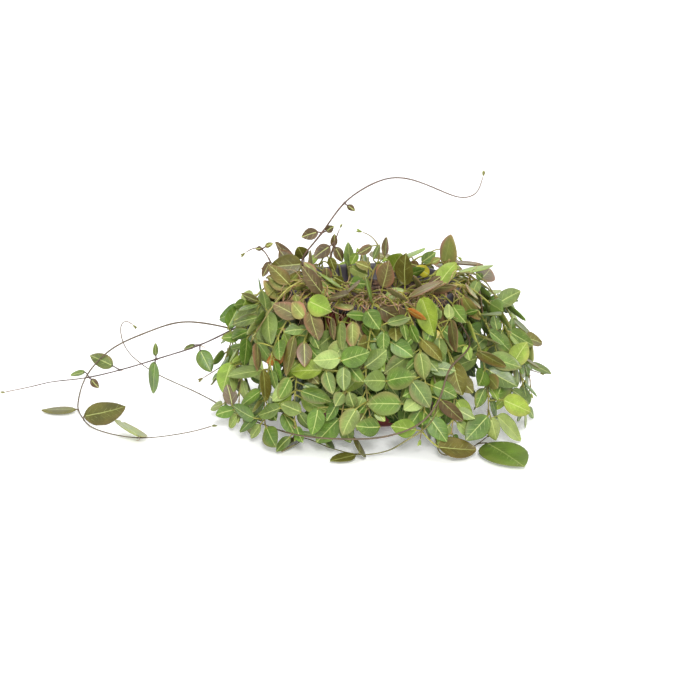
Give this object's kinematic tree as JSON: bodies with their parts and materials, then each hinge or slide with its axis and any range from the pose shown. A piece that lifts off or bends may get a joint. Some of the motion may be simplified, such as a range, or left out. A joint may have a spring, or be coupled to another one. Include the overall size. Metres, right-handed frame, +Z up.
{
  "type": "trailing dischidia in a pot",
  "caption": "Trailing plant with fleshy pointed oval leaves on thin stems that spill over the rim of a round plastic nursery pot and run out along the surface.",
  "frame": {"origin": "centre of the pot's flat base, on the surface that it stands on", "axes": "+X right, +Y away from the viewer, +Z up, as the picture is seen"},
  "size_m": [0.4886, 0.2911, 0.2116],
  "materials": {
    "pot_plastic": "satin",
    "planting_medium": "matte",
    "foliage_green": "satin",
    "foliage_warm": "satin",
    "runner_foliage": "satin"
  },
  "bodies": {
    "root": {"pot": "pot_plastic", "potting_medium": "planting_medium", "tendril_high": "foliage_warm", "shoot_left": "foliage_warm", "shoot_brown": "foliage_warm", "arch_middle": "foliage_warm", "arch_right": "foliage_warm", "right_vine": "foliage_green", "right_stub": "runner_foliage", "runner_loop": "runner_foliage", "runner_left": "runner_foliage", "runner_hook": "runner_foliage", "runner_front": "runner_foliage", "stem_lower_right": "runner_foliage", "stem_yellow": "runner_foliage", "stub_left": "runner_foliage", "sprig_pink": "foliage_warm", "sprig_lime": "foliage_warm", "sprig_grey": "foliage_warm", "sprig_large": "foliage_warm", "sprig_pink_edge": "foliage_warm", "sprig_green": "foliage_warm", "sprig_right": "foliage_warm", "sprig_mauve": "foliage_warm", "sprig_pale": "foliage_warm", "sprig_small": "foliage_warm", "vine_front_01": "foliage_green", "vine_front_02": "foliage_green", "vine_front_03": "foliage_green", "vine_front_04": "foliage_green", "vine_front_05": "foliage_green", "vine_front_06": "foliage_green", "vine_front_07": "foliage_green", "vine_front_08": "foliage_green", "vine_front_09": "foliage_green", "vine_front_10": "foliage_green", "vine_front_11": "foliage_green", "vine_front_12": "foliage_green", "vine_front_13": "foliage_green", "vine_back_01": "foliage_green", "vine_back_02": "foliage_green", "vine_back_03": "foliage_green", "vine_back_04": "foliage_green", "vine_back_05": "foliage_green", "vine_back_06": "foliage_green", "vine_back_07": "foliage_green", "vine_back_08": "foliage_green", "vine_inner_01": "foliage_green", "vine_inner_02": "foliage_green", "vine_inner_03": "foliage_green", "vine_inner_04": "foliage_green", "vine_inner_05": "foliage_green", "vine_inner_06": "foliage_green", "vine_inner_07": "foliage_green", "vine_inner_08": "foliage_green", "vine_inner_09": "foliage_green", "vine_inner_10": "foliage_green", "vine_inner_11": "foliage_green", "vine_inner_12": "foliage_green"}
  },
  "joints": []
}
